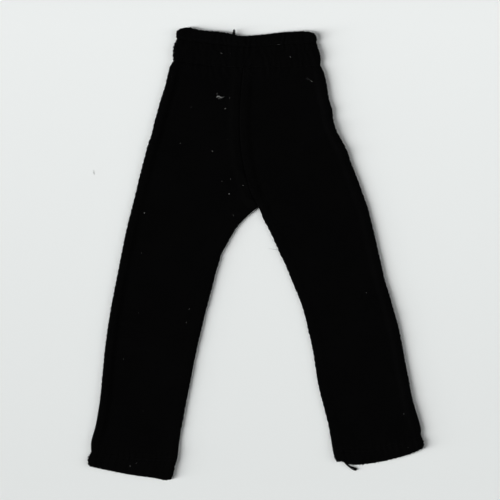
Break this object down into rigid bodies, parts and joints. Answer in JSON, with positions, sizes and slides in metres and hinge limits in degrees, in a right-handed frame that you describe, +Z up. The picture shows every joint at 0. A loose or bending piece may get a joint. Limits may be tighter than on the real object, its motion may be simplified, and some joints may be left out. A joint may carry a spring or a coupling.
{
  "type": "riding leggings",
  "caption": "Doll's riding leggings in plain black knit jersey, lying flat front up: full length legs, crotch seam, waistband with elastic casing, turned-up hems.",
  "frame": {"origin": "middle of the outline, on the surface the leggings lie on", "axes": "+Y to the waist, +Z up out of the front, +X to the wearer's left leg"},
  "size_m": [0.1956, 0.2639, 0.0047],
  "materials": {
    "leg_jersey": "black cotton and elastane jersey, matt, with a faint nap",
    "waistband_jersey": "the same black jersey, doubled",
    "casing_jersey": "the same black jersey, rolled over a narrow elastic and stitched down",
    "hem_jersey": "the same black jersey, turned up and stitched, slightly fuzzy at the fold"
  },
  "bodies": {
    "root": {"front_right": "leg_jersey", "front_left": "leg_jersey", "back_right": "leg_jersey", "back_left": "leg_jersey", "waistband_front": "waistband_jersey", "waistband_back": "waistband_jersey", "casing_front": "casing_jersey", "casing_back": "casing_jersey", "hem_right_front": "hem_jersey", "hem_right_back": "hem_jersey", "hem_left_front": "hem_jersey", "hem_left_back": "hem_jersey"}
  },
  "joints": []
}
